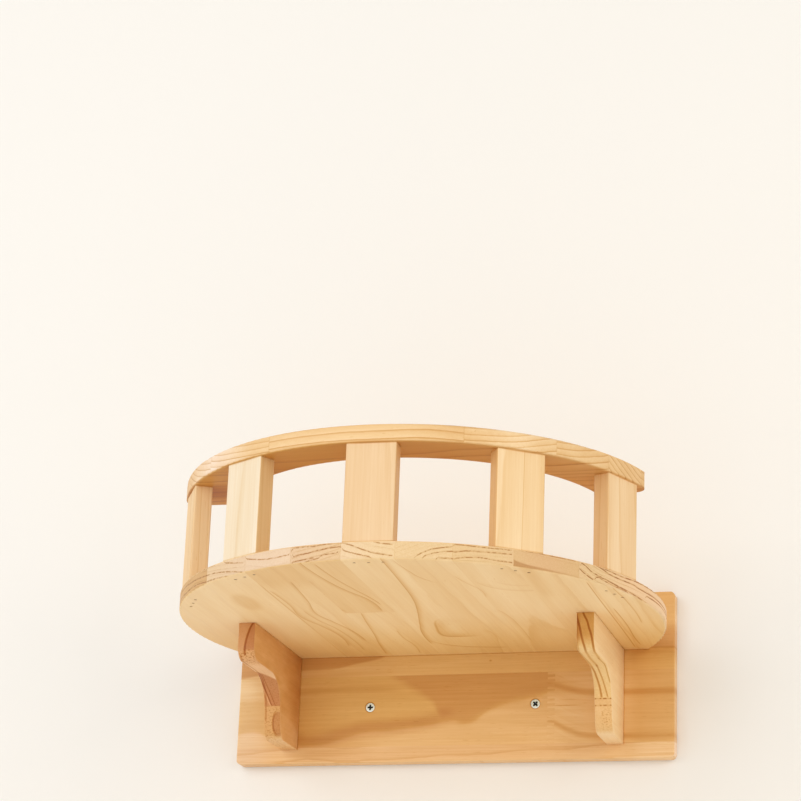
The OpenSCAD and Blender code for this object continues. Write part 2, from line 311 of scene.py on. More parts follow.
def deck_pine():
    """Eleven strips along Y. The underside shows their flat grain and the rim their end grain."""
    n = Net("pine_deck")
    x, y, z = n.place()
    s = (x + 14) / STRIP_W + 5
    k = s.floor().least(9)
    # A row for each strip from -X to +X. First: tone, pith across, pith above or below, lean across.
    first = [(0.05, -40, 190, 0.03), (-0.02, 80, 230, -0.03), (-0.05, 30, -230, 0.02), (0.06, 60, 150, 0.04),
             (0.20, -60, 150, 0.05), (-0.05, 51, 165, -0.05), (0.0, -70, 170, 0.05), (-0.02, 0, -170, 0.02),
             (0.05, -60, 230, 0.03), (-0.03, 75, 170, 0.0), (0.0, 0, 150, 0.0)]
    # Second: lean up, ring, how dark its lines are, where the strip's butt joint is.
    second = [(0.02, 7.5, 0.15, -420), (0.0, 8.0, 0.15, -420), (-0.01, 8.5, 0.1, -420), (0.0, 7.0, 0.2, -420),
              (-0.01, 7.5, 0.15, -200), (0.005, 8.5, 0.2, -420), (0.01, 8.0, 0.2, -420), (0.02, 7.5, 0.3, -420),
              (0.0, 8.0, 0.25, -420), (0.0, 6.5, 0.4, -420), (0.0, 8.0, 0.3, -420)]
    # Third, for the rim: gap between lines, their phase, how dark they are, and the rim's own tone.
    third = [(4.5, 0.2, 0.6, 1.25), (4.5, 0.0, 0.5, 1.05), (4.8, 0.3, 0.4, 0.2), (7.0, 0.0, 0.3, 0.15),
             (4.8, 0.0, 0.5, 0.45), (6.2, 0.0, 0.3, 0.15), (4.6, 0.0, 0.3, 0.25), (5.0, 0.0, 0.4, 0.4),
             (12.0, 0.0, 0.3, 0.65), (4.2, 0.0, 0.6, 0.35), (4.5, 0.0, 0.6, 0.3)]
    tone, pith_v, pith_w, lean_v = n.table(k, first, [(-0.5, 0.5), (-100, 100), (-250, 250), (-0.2, 0.2)])
    lean_w, ring, line, butt = n.table(k, second, [(-0.2, 0.2), (5, 10), (0, 1), (-420, 0)])
    gap, phase, rim_line, rim_tone = n.table(k, third, [(0, 14), (0, 1), (0, 2), (0, 1.5)])
    after = (y - butt).over(0) * (butt + 419).over(0)
    v = x - (k - 4.5) * STRIP_W + 14
    seed = k * 3.7 + after * 1.9
    flat, height, late, fibre = pine_dark(n, y + 260, v + after * 20, z - 65, seed, pith_v, pith_w, lean_v, lean_w,
                                          ring, after * 0.4, sway=0.7, line=line, fine=0.65)

    # The boldest lines of the underside, as x = f(y).
    def bold(points, wide, side, dark):
        return along(n, x, y, -400, 0, -260, 260, points, wide, side) * (dark * 1.45)

    marks = (bold([(-400, 25), (-320, 22), (-240, 16), (-200, 9), (-150, -2), (-110, -10), (-60, -12)], 9, 1, 0.85)
             + bold([(-400, -55), (-340, -50), (-290, -40), (-250, -27), (-200, -26)], 8, -1, 0.8)
             + bold([(-390, -42), (-330, -37), (-290, -30), (-250, -22), (-225, -20)], 4, -1, 0.7)
             + bold([(-330, -66), (-300, -69), (-250, -72), (-200, -64)], 6, 1, 0.5) * (x + 66.5).over(0)
             + bold([(-205, -50), (-160, -56), (-110, -62), (-70, -68), (-20, -73)], 6, 1, 0.7)
             + bold([(-130, -33), (-90, -35), (-60, -32), (-20, -36)], 4, 1, 0.5)
             + bold([(-330, -84), (-250, -90), (-200, -96), (-170, -89), (-130, -80), (-80, -77)], 6, -1, 0.7)
             + bold([(-300, -117), (-240, -114), (-190, -117), (-150, -107), (-110, -100), (-60, -104)], 8, 1, 0.6)
             + bold([(-220, -107), (-180, -104), (-140, -95), (-90, -91), (-40, -92)], 4, 1, 0.5)
             + bold([(-395, 36), (-350, 41), (-320, 48), (-300, 60)], 5, -1, 0.45)
             + bold([(-330, 78), (-300, 84), (-270, 92), (-240, 90)], 5, 1, 0.35)
             + bold([(-200, 91), (-170, 97), (-130, 99), (-60, 97)], 6, -1, 0.35)
             + (x - 146).rise(-1, 6) * (x - 166).rise(-9, 1, 1, 0) * y.rise(-260, -225, 1, 0) * 0.25
             + bold([(-292, 200.5), (-216, 200), (-112, 200), (-20, 199)], 2.5, 1, 1.0)
             + bold([(-190, 208), (-120, 209), (-60, 207), (-30, 208)], 2.5, -1, 0.9)
             + bold([(-330, 210), (-260, 221), (-180, 226), (-120, 224)], 4, 1, 0.6)
             + along(n, y, x, -260, 260, -400, 0, [(-13, -95), (-9, -78), (-1, -64), (14, -53), (40, -45), (70, -42)], 8) * 1.1
             + bold([(-122, 58), (-106, 64), (-50, 59.5), (-5, 54)], 14, -1, 0.25)
             + joint(n, x + 119, 1.5) * y.rise(-330, -300, 0, 0.7) * y.rise(-200, -120, 1, 0.4))
    marks = marks + (x + 119).over(0) * (x + 66.5).over(0).rise(0, 1, 1, 0) * y.rise(-335, -285, 1, 0) * 0.38
    marks = marks + oval(x, y, -154, -255, 16, 40).rise(0.5, 1, 0.38, 0)
    # A loop of darker wood by the long line, and two faint arches.
    a, b = (x + y * 0.15 - 16.5) / 25, (y + 130) / 38.5
    loop = (a * a * a * a + b * b * b * b).root().root()
    fades = y.rise(-172, -135) * x.rise(24, 54, 1, 0)
    marks = marks + (loop.rise(0.35, 1) * loop.rise(0.97, 1.03, 1, 0) * 0.5 + (loop - 1).abs().rise(0.01, 0.08, 1, 0) * 0.75) * fades
    arch = ((x - 140) * (x - 140) + (y + 310) * (y + 310) * 0.9).root() * -1
    in_strip = (x - 91).over(0) * (x - 143.5).over(0) * -1 + (x - 91).over(0)
    marks = marks + (edge_of(n, arch + 46, 12) + edge_of(n, arch + 28, 9) * 0.7) * in_strip * (y + 305).rise(0, 15) * 0.45

    # The rim's lines, level with this curve on each strip.
    level = n.curve(x, -250, 250, 40, 80, [
        (-250, 60), (-190, 72), (-150, 67), (-119.5, 63), (-118.5, 69.5), (-90, 63.5), (-67, 66.5), (-66, 57),
        (-50, 60), (-35, 62), (-14.5, 67.5), (-13.5, 73), (0, 68), (15, 63.5), (38, 59), (39, 53), (50, 57), (62, 62),
        (76, 66), (90.5, 69), (91.5, 66), (110, 68), (143, 70), (144, 62), (155, 59), (195.5, 57), (196.5, 67),
        (201, 64), (206, 60), (212, 57), (225, 55), (250, 55)],
                    straight=True)
    waver = n.noise(x * 0.07, z * 0.10, seed, detail=2) * 1.1
    q = (z - level + waver) / gap + phase
    f = q - q.floor()
    hair_w = (gap ** -1) * 0.9
    stripe = f.rise(hair_w * 0.3, hair_w, 1, 0) + (1 - f).rise(0, hair_w * 0.5, 1, 0) + f.rise(0.45, 0.98) ** 2 * 0.3
    broken = n.noise(x * 0.12, z * 0.5, seed + 3, detail=2).rise(-0.12, 0.12, 0.35, 1)
    power = (n.chance(q.floor() + seed * 5) ** 1.5) * 1.3 + 0.45
    dots = n.noise(x * 0.35, z * 0.5, seed + 5, detail=1).rise(-0.12, 0.1, 0.3, 1.2)
    pores = n.noise(x * 0.7, y * 0.7, z * 0.9, detail=2, rough=0.7) * 0.7
    rim = n.facing(2).abs().rise(0.3, 0.8, 1, 0)
    side = x.abs().rise(225, 246)
    strokes = 0
    for layer in RIM_LINES:
        line_z, ahead = (n.curve(x + shift, -250, 250, 40, 90, layer, straight=True) for shift in (-0.8, 0.8))
        no_jump = (ahead - line_z).abs().rise(1.7, 2.2, 1, 0)
        strokes = strokes + edge_of(n, z - line_z, 2.2, 0.8) * no_jump
    lines = stripe * power * broken * rim_line * (1 - side * 0.6) + strokes * dots * (broken * 0.8 + x.rise(190, 200, 1.9, 3.1))
    # A dark edge along the foot of one strip.
    foot = (z - n.curve(x, -250, 250, 40, 80, [(143, 63.5), (150, 61), (158, 59.7), (172, 58.8), (190, 58)])).rise(-1, 1, 1, 0)
    foot = foot * (x - 143.5).over(0) * x.rise(146, 196, 1.35, 0.4) * (x - 196).rise(-1, 0, 1, 0)
    lines = lines + foot
    end_grain = lines + rim_tone + pores

    under = n.facing(2).rise(-0.8, -0.3, 1, 0)
    glue = ((s - k - 0.5).abs() * STRIP_W).rise(STRIP_W / 2 - 0.3, STRIP_W / 2) * x.rise(240, 245, 1, 0)
    butts = joint(n, y - butt, 0.4)
    # Painted shade: the underside darker toward the board.
    back = y.rise(-190, -20) * z.rise(70, 56) * 0.4
    # Fine dark lines where the brackets and the board meet the underside: glue lines with painted contact shade.
    met = sum(joint(n, x - at, 0.7) for at in (-189.3, -170.7, 167.7, 186.3)) * y.rise(-177, -175) + joint(n, y + 15, 0.8)
    dark = ((flat + (marks + met * 0.9) * under + tone * (1 - after * 1.3) + butts * 0.2 + back) * (1 - rim)
            + end_grain * rim + glue * (rim * 0.3 + 0.12))
    pink = x.bump_at(-90, 140) * rim
    pinker = x.bump_at(170, 40) * rim
    grey = lines.least(2) * rim * (1 - side * 0.8)
    end = x.rise(205, 238) * rim
    dark = dark - end * 0.15
    base = [(b + rim * r + pink * p + pinker * q + end * t) * (1 + grey * g) for b, r, p, q, t, g in zip(
        (0.95, 0.69, 0.38), (-0.08, -0.035, 0.02), (-0.02, -0.01, 0.08), (0.0, -0.03, 0.01), (0.045, -0.015, 0.0), (0.0, 0.06, 0.28))]
    # Painted shade: the underside less blue toward the board.
    base[2] = base[2] * (1 - back * 0.3)
    return pine_finish(n, base, dark, height - glue * 0.4, late, fibre)


def rail_pine():
    n = Net("pine_rail")
    x, y, z = n.place()
    s = (y + 375) / 53.3 + 1
    k = s.floor()
    first = [(0.05, 20, -140, 0.02), (0.0, -40, 160, -0.03), (0.05, -45, 130, 0.05), (0.0, 55, 120, 0.02),
             (0.1, 0, 140, 0.0)]
    second = [(0.0, 8, 0.1), (0.01, 6.5, 0.3), (0.02, 6, 0.6), (-0.02, 5.5, 0.8), (0.0, 8, 0.2)]
    tone, pith_v, pith_w, lean_v = n.table(k, first, [(-0.5, 0.5), (-100, 100), (-250, 250), (-0.2, 0.2)])
    lean_w, ring, phase = n.table(k, second, [(-0.2, 0.2), (5, 10), (0, 1)])
    v = (s - k - 0.5) * 53.3
    dark, height, late, fibre = pine_dark(n, x, v, z - 181, k * 2.9 + 40, pith_v, pith_w, lean_v, lean_w, ring, phase,
                                          line=1.35)
    glue = (s - k - 0.5).abs().rise(0.5 - 0.35 / 53.3, 0.5)
    dark = dark + tone + glue * 0.35
    under = z.rise(172.6, 174.2, 1, 0)
    # Painted shade on the underside: darker left of x = 60, darkest in a band at the left end, a little at the right
    # end; the base colour is less blue there too.
    dark = dark + under * (x.rise(60, 140, 1.6, 1.0) + x.rise(-190, -150, 1, 0) * ((y + 258).bump_at(0, 36) * 1.5 - 0.35)
                           + x.rise(200, 230) * 0.15)
    # A paler, whiter stretch of the front round x = -175: partly paler wood, partly a painted glare.
    pale = (x + 175).bump_at(0, 65)
    dark = dark + (1 - under) * (x.abs().rise(150, 235) * 0.2 + x.rise(-235, -195, 0.3, 0) + (x - 90).bump_at(0, 48) * 0.35 - (x - 148).bump_at(0, 30) * 0.25 + x.rise(200, 240) * 0.1 + 0.08 - pale * 0.45)
    base = (0.90, (1 - under) * pale * 0.02 + 0.635, (1 - under) * pale * 0.09 - under * x.rise(-60, 40, 0.05, 0) + 0.355)
    return pine_finish(n, base, dark, height - glue * 0.4, late, fibre)


def post_pine(name, angle, base, tone, pith_v, pith_w, ring, seed, glue_at, line_dark, flank):
    n = Net(name)
    x, y, z = n.place()
    a = math.radians(angle + RAIL_TURN)
    v = x * math.cos(a) + (y - DECK_CENTRE_Y) * math.sin(a)
    w = x * math.sin(a) - (y - DECK_CENTRE_Y) * math.cos(a) - POST_R
    dark, height, late, fibre = pine_dark(n, z - 120, v, w, seed, pith_v, pith_w, 0.01, 0.02, ring, 0.3, sway=0.5,
                                          line=line_dark)
    # The narrow sides are painted darker by flank: painted shade, and painted light where flank is negative.
    sideways = (n.facing(0) * math.cos(a) + n.facing(1) * math.sin(a)).abs().rise(0.5, 0.9)
    dark = dark + tone + sideways * flank
    if glue_at is not None:
        line = joint(n, v - glue_at - (z - 120) * 0.01, 0.6)
        dark = dark + line * 0.7 + (v - glue_at).rise(0, 0.5) * 0.15
        height = height - line * 0.5
    # Dark bands where the post meets deck and rail: glue lines with painted contact shade.
    ends = z.rise(74.2, 75.2, 1, 0) + z.rise(171.2, 172.2)
    return pine_finish(n, base, dark + ends * 0.8, height, late, fibre)


def board_pine():
    n = Net("pine_board")
    x, y, z = n.place()
    # Glued from boards along X, with joints at z = -43 and 34. The middle one has a finger joint near x = 104.
    middle = (z + 43).over(0) * (z - 34).over(0) * -1 + (z + 43).over(0)
    upper = (z - 34).over(0)
    lower = 1 - middle - upper
    finger = (z / 5.2).fract().rise(0.42, 0.58) * 8 + 104
    right = (x - finger).over(0) * middle
    left = middle - right
    seam = joint(n, x - finger, 0.5) * middle
    seams = joint(n, z + 43, 0.3) + joint(n, z - 34, 0.3)
    bend = n.curve(x, 100, 245, -2, 22, [(100, 20), (112, 15), (130, 6), (148, 1), (180, 0), (245, 0)])
    zr = z - right * bend
    seed = right * 5.3 + upper * 9.1 + lower * 13.7 + 71
    dark, height, late, fibre = pine_dark(
        n, x, zr, y + 7.5, seed, 20 - right * 60, 160 - right * 300, 0.02, 0.01, 11 - lower * 5, 0.2,
        sway=1.0, line=lower * 0.35 + 0.12, fine=0.7)
    # Left length: medium heartwood above an edge that wanders along the board, and a redder patch in it.
    wander = n.noise(x * 0.02, z * 0.06, 3.0, detail=3) * 8
    fray = n.noise(x * 0.03, z * 0.9, 5.0, detail=1) * 4
    low = n.curve(x, -245, 112, -60, 60, [
        (-245, -32), (-225, -25), (-200, -34), (-172, -41), (-150, -41), (-120, -34), (-100, -29), (-60, -26),
        (-25, -22), (0, -17), (15, -20), (40, -7), (62, 1), (85, 5), (112, 13)])
    above = (z - low + wander * 0.5 + fray * 0.4).rise(-1.5, 2.5)
    deep = n.curve(x, -80, 112, -60, 60, [
        (-80, 40), (-66, 31), (-48, 20), (-30, 9), (-20, 0), (-12, -12), (0, -17), (15, -20), (40, -7), (62, 1),
        (85, 5), (112, 13)])
    patch = (z - deep + wander * 1.2 + fray * 0.6).rise(-5, 8)
    rim = (z - low + wander * 0.5).bump_at(6, 14) * x.rise(-20, 10, 1, 0) * x.rise(-205, -185, 0.25, 1)
    band = (z - 22 + wander * 0.7 - x * 0.02).bump_at(0, 6) * x.rise(-90, -45, 1, 0) * x.rise(-210, -190)
    # Its far left end, past x = -190, is lighter: painted light.
    left_dark = above * 0.32 + patch * 0.45 + rim * 0.5 + band * 0.4 + (x + 125).bump_at(0, 60) * (z + 20).rise(-20, 0, 1, 0) * 0.35 + x.rise(-215, -190, 0.2, 0.4) - (x + 235).bump_at(0, 40) * (z - 22).bump_at(0, 24) * 0.45
    # Upper board: a dark wedge from the left and a pin knot, and painted shade just under the deck right of the right
    # bracket.
    wedge_low = n.curve(x, -245, 112, 30, 60, [
        (-245, 34), (-172, 42), (-140, 43), (-110, 48), (-80, 54), (-60, 60), (112, 60)])
    wedge = (z - wedge_low + wander * 0.3).rise(-1.5, 1.5) * z.rise(70, 90, 1, 0)
    knot = ((x - 41) * (x - 41) + (z - 48) * (z - 48) * 2).root().rise(0.5, 2.2, 1, 0)
    upper_dark = wedge * 0.7 + knot * 0.9 + 0.52 + z.rise(84, 104) * 0.4 + x.rise(180, 200) * z.rise(32, 56, 0.3, 1) * z.rise(57, 60, 1, 0) * 0.9
    # Right length: two darker bands and short resin streaks.
    bands = (z - bend * 0.55 - 11).bump_at(0, 5.5) * 0.75 + (zr + 36).bump_at(0, 5) * x.rise(185, 205, 0.75, 0.45)
    ticks = ((z + 2.5).bump_at(0, 0.9) * (x - 124).bump_at(0, 22) * 1.1
             + (z - 6.5 + x * 0.02).bump_at(0, 0.8) * (x - 128).bump_at(0, 16) * 0.7)
    right_dark = bands + ticks + 0.26 + x.rise(140, 200) * 0.24 + x.rise(185, 205) * z.rise(-46, -40, -0.15, 0.42) + x.rise(105, 160, 0.45, 0) * z.rise(2, 16)
    lines = n.noise(x * 0.003, z * 0.9, 8.0, detail=2).rise(0.0, 0.25)
    lower_dark = lines * 0.5 + 0.3 + (x + 135).bump_at(0, 60) * (z + 49).bump_at(0, 12) * 0.45 - x.rise(190, 210) * 0.2
    streaks = n.noise(x * 0.012, z * 0.35 + seed, 2.0, detail=3, rough=0.6) * 0.75
    flecks = n.noise(x * 0.08, z * 1.1 + seed, 6.0, detail=1).rise(0.16, 0.26) * 0.4
    dark = (dark + streaks + flecks + right * right_dark + left * left_dark + upper * upper_dark + lower * lower_dark
            + seam * 0.05 + seams * 0.10)
    # Fine dark lines where brackets and deck meet the board: glue lines with painted contact shade.
    front = (y + 14).over(0) * -1 + 1
    met = (sum(joint(n, x - at, 0.7) for at in (-189.4, -170.6, 167.6, 186.4)) * z.rise(-46, -44.5) * z.rise(55, 56, 1, 0)
           + (joint(n, z - 55.7, 0.7) + joint(n, z - 74.3, 0.7)) * x.abs().rise(212, 214, 1, 0))
    # The +X end face is painted lighter and bluer: painted light.
    painted_light_end_face = n.facing(0).rise(0.7, 0.95)
    dark = dark + met * front * 1.2 - painted_light_end_face * 0.55
    red = (patch * 0.2 + rim * 0.35 + band * 0.1) * left + wedge * upper * 0.25
    # A painted shade ring round the two screw heads, standing in for the shadow in their countersinks.
    for at in (-91, 91):
        painted_shade_ring = ((x - at) * (x - at) + z * z).root().bump_at(5.3, 0.9)
        dark = dark + painted_shade_ring * 1.6
    # The left end outside the bracket is paler and bluer: painted light.
    pale = x.rise(-235, -190, 1.3, 0)
    gold = above * left * (1 - patch)
    # In the base colour the upper board under the deck is a touch less blue: painted shade.
    base = (0.925, 0.625 + pale * 0.03 + gold * 0.015, 0.315 + pale * 0.08 + lower * 0.03 - gold * 0.035 + painted_light_end_face * 0.05
            - patch * left * 0.025 - upper * z.rise(57, 60, 0.03, 0))
    return pine_finish(n, base, dark, height - (seam + seams) * 0.4, late, fibre, red)


def bracket_pine(name, middle, tone, base, seed, figure, bluer):
    """A bracket sawn from a panel glued across z = -11, its grain along Y. figure gives what its front shows."""
    n = Net(name)
    x, y, z = n.place()
    w = x - middle
    low = (z + 11).over(0) * -1 + 1
    dark, height, late, fibre = pine_dark(n, y + 95, z - 10, w, low * 3 + seed, 12, 150, 0.0, 0.02, 8.5, 0.3,
                                          sway=0.8, line=0.12)
    front = n.facing(0).abs().rise(0.3, 0.8, 1, 0)
    # How far a point is down the front, from 56 at the nose's top to about -98 at the toe.
    p = z - (y + 175) * 0.55
    grain = n.noise(w * 0.5, p * 0.5, seed, detail=2, rough=0.7)
    marks, red, flank = figure(n, w, p, y, z, grain)
    # The sides take flank from the figure; on the left bracket it holds painted shade.
    dark = dark + tone + joint(n, z + 11, 0.45) * (front * 0.6 + 0.12) + front * (grain * 0.7 + marks) + (1 - front) * flank
    return pine_finish(n, (base[0], front * low * bluer * 0.9 + base[1], front * bluer + base[2]), dark, height, late, fibre, red * front)


def hair(n, w, p, half, points):
    """A dark line w = f(p) on a bracket's front, from the first to the last of its points (p rises)."""
    line = (w - n.curve(p, -100, 60, -12, 12, points)).abs().rise(half * 0.25, half, 1, 0)
    return line * p.rise(points[0][0] - 1, points[0][0] + 2) * p.rise(points[-1][0] - 2, points[-1][0] + 1, 1, 0)


def left_figure(n, w, p, y, z, grain):
    """Left bracket's front: a reddish nose with a bowed ring, a reddish leg beside a slanting ring, a grey-brown
    block below the joint with a crescent in it."""
    bow_at = [(20, -2.0), (32, -1.2), (40, 0.2), (46, 1.9), (51.5, 3.9), (57, 7.8)]
    slant_at = [(-63, 0.0), (-59.3, -1.8), (-52.5, -3.9), (-45.4, -5.8), (-37.5, -7.5), (-29.4, -8.5), (-20, -8.3)]
    bow, slant = n.curve(p, -100, 60, -12, 12, bow_at), n.curve(p, -100, 60, -12, 12, slant_at)
    nose = p.rise(25, 29)
    inner = (w - bow).rise(-0.5, 0.5)
    leg = (z + 11).over(0) * (p + w * 0.9).rise(-24, -20, 1, 0)
    patch = leg * (w - slant).rise(-0.5, 0.5)
    block = (z + 11).over(0) * -1 + 1
    moon = oval(w, z, 6.5, -29.5, 6, 12.5)
    specks = grain.rise(0.0, 0.18)
    # The lowest few mm of the front, at the toe, are lighter: a painted highlight.
    marks = (nose * (0.75 + inner * 0.5) + hair(n, w, p, 1.7, bow_at) * 2.4 + p.rise(-2, 12) * (1 - nose) * (specks * 2.0 + 0.55)
             + leg * (specks * 0.5 + 1.15) + patch * 0.15 + hair(n, w, p, 1.1, slant_at) * leg * 1.9 - hair(n, w + 1.8, p, 0.9, slant_at) * leg * 0.7
             + hair(n, w - 4, p, 1.0, slant_at) * leg * 1.0
             + block * (0.85 + specks * w.rise(-3, 8, 1.1, 0.5) + moon.rise(0.93, 1.05, 1, 0) * 0.6)
             + block * (moon - 1).abs().rise(0.05, 0.26, 1, 0) * w.rise(1, 6, 1, 0) * 1.6 + z.rise(-44, -40, -0.6, 0))
    red = nose * (0.28 + inner * 0.27) + leg * 0.22 + patch * 0.28 + block * moon.rise(0.93, 1.05, 1, 0) * 0.35
    marks = marks + hair(n, w + 6.6, p, 1.3, [(-80, -0.6), (-40, 0), (0, 0.2), (22, 0)]) * 1.1
    mottle = n.noise(y * 0.022, z * 0.06, 2.0, detail=2.5, rough=0.6) * 1.5
    # The side is darker toward the board and higher up under the arm: painted shade; grain and mottle are the wood's
    # own.
    flank = y.rise(-90, -25) * z.rise(-25, 10) * 0.6 + grain * 0.3 + mottle + z.rise(-30, -10, 0.55, 0.75)
    return marks, red, flank


def right_figure(n, w, p, y, z, grain):
    """Right bracket's front: an orange nose with two ring ends, three finer ones on the leg, two joints, specks."""
    first = hair(n, w, p, 1.7, [(-22, -1.2), (-5, -2.6), (8, -1.6), (17, -1.4), (25.5, -2.6), (32.3, -4.0), (40, -5.5), (46, -7.2),
                                (57, -10)])
    second = hair(n, w, p, 1.6, [(-6, 5.9), (8, 7.0), (20, 7.4), (28.7, 6.8), (34.8, 5.4), (40.3, 3.6), (46.5, 1.9), (52, -0.9),
                                 (57, -3)])
    one = hair(n, w, p, 1.5, [(-62, -1.5), (-52.8, -2.5), (-44.5, -3.7), (-36, -5.1), (-29.5, -5.9), (-24, -7.0), (0, -8.0),
                              (26, -8.4)])
    two = hair(n, w, p, 1.2, [(-62, 5.0), (-56, 3.8), (-48, 2.2), (-40, 1.0), (-30.6, -0.6), (-18, -1.9)])
    three = hair(n, w, p, 0.9, [(-45, 8.4), (-40, 7.8), (-31, 7.0), (-18, 6.9), (-3, 5.5)])
    hollow = p.rise(4, 22, 0.4, 1)
    nose = p.rise(16, 36)
    left_edge = w.rise(-4, -9) * p.rise(22, 30) * p.rise(44, 52, 1, 0.4)
    dashes = n.noise(w * 0.28, 3.0, 7.0, detail=0).rise(-0.06, 0.08)
    block = (z + 11).over(0) * -1 + 1
    seams = joint(n, z + 11, 1.1) * (dashes * 2.4 + 0.3) + joint(n, z + 17.9, 1.2) * (dashes * 1.7 + 0.4)
    specks = grain.rise(0.06, 0.16) * 1.3 * w.rise(-4, -1) * z.rise(-43, -38) * z.rise(-24, -20, 1, 0)
    # The lowest few mm of the front, at the toe, are lighter: a painted highlight.
    marks = (nose * 1.3 + (first + second) * hollow * 2.4 + one * p.rise(-26, -18, 2.0, 1.0) + two * 1.4 + three * 1.4 + left_edge * 1.1 + seams + specks
             + block * 0.2 + z.rise(-46, -41, -0.7, 0) + 0.45)
    red = left_edge * 0.3 - nose * 0.08
    flank = grain * 0.15 + 0.15
    return marks, red, flank


def zinc():
    n = Net("zinc_screw")
    x, y, z = n.place()
    cloud = n.noise(x * 0.9, y * 0.9, z * 0.9, detail=3)
    scratch = n.noise(x * 14, y * 14, z * 14, detail=2)
    # The cross recess is painted almost black through an attribute: painted shade in the hollow.
    recess_shade = n.new("ShaderNodeAttribute", attribute_name="recess_shade").outputs["Fac"]
    tone = (cloud * 0.14 + 0.86) * (1 - Val(n, recess_shade) * 0.96)
    return n.finish(Base_Color=n.colour(tone * 0.79, tone * 0.9, tone * 0.88), Metallic=1.0,
                    Roughness=cloud * 0.25 + scratch * 0.1 + 0.32, Normal=n.bumped(scratch + cloud, 0.00003, 0.5))


def nail_steel():
    n = Net("steel_nail")
    x, y, z = n.place()
    cloud = n.noise(x * 1.4, y * 1.4, z * 1.4, detail=3)
    tone = cloud * 0.08 + 0.32
    return n.finish(Base_Color=n.colour(tone, tone * 0.64, tone * 0.34), Metallic=0.15, Specular_IOR_Level=0.25,
                    Roughness=cloud * 0.3 + 0.6, Normal=n.bumped(cloud, 0.00004, 0.6))


def plain(name, colour):
    """A stage surface: matt, and see-through from behind so that it never hides the shelf. Far off it fades out."""
    n = Net(name)
    x, y, z = n.place()
    cloud = n.noise(x * 0.002, y * 0.002, z * 0.002, detail=1) * 0.012
    shade = n.new("ShaderNodeBsdfDiffuse")
    n.tree.links.new(n.colour(*[cloud + c for c in colour]), shade.inputs["Color"])
    clear = n.new("ShaderNodeBsdfTransparent")
    mix = n.new("ShaderNodeMixShader")
    back = Val(n, n.new("ShaderNodeNewGeometry").outputs["Backfacing"])
    n.put(mix.inputs[0], back.most((x * x + y * y + z * z).root().rise(1800, 3200)))
    n.tree.links.new(shade.outputs[0], mix.inputs[1])
    n.tree.links.new(clear.outputs[0], mix.inputs[2])
    n.tree.links.new(mix.outputs[0], n.out.inputs[0])
    return n.material


# ---------------------------------------------------------------- pieces

def add_piece(name, bm, material, replaced, angle=35):
    mesh = bpy.data.meshes.new(name)
    bm.to_mesh(mesh)
    bm.free()
    mesh.shade_smooth()
    mesh.set_sharp_from_angle(angle=math.radians(angle))
    mesh.materials.append(material)
    obj = bpy.data.objects.new(name, mesh)
    scene.collection.objects.link(obj)
    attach(obj, "root")
    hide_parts(replaced)
    return obj


def eased_copy(node, material, width=0.6):
    """The CAD node's own shape with its sharp long edges broken, as sandpaper leaves them."""
    bm = bmesh.new()
    bm.from_mesh(nodes[node].data)
    bmesh.ops.remove_doubles(bm, verts=bm.verts, dist=2e-6)
    bmesh.ops.dissolve_limit(bm, angle_limit=math.radians(0.6), verts=bm.verts, edges=bm.edges)
    lo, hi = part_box(node)
    edges = []
    for e in bm.edges:
        if len(e.link_faces) == 2 and e.calc_face_angle(0) > math.radians(40):
            on_side = all(min(abs(v.co.x - lo.x), abs(v.co.x - hi.x)) < 1e-5 for v in e.verts)
            if on_side:
                edges.append(e)
    bmesh.ops.bevel(bm, geom=edges, offset=width * MM, offset_type="OFFSET", segments=2, profile=0.5,
                    affect="EDGES", clamp_overlap=True)
    return add_piece(node + "_wood", bm, material, node)


def rings(bm, rows, place):
    """Skins a list of rings of points, each closed, and closes both ends. A fourth number is how much painted shade
    darkens the point.
    """
    recess_shade = bm.verts.layers.float["recess_shade"]
    made = []
    for row in rows:
        made.append([bm.verts.new(place @ Vector(p[:3])) for p in row])
        for v, p in zip(made[-1], row):
            v[recess_shade] = p[3] if len(p) > 3 else 0.0
    for a, b in zip(made, made[1:]):
        for k in range(len(a)):
            j = (k + 1) % len(a)
            bm.faces.new((a[k], a[j], b[j], b[k]))
    bm.faces.new(list(reversed(made[0])))
    bm.faces.new(made[-1])


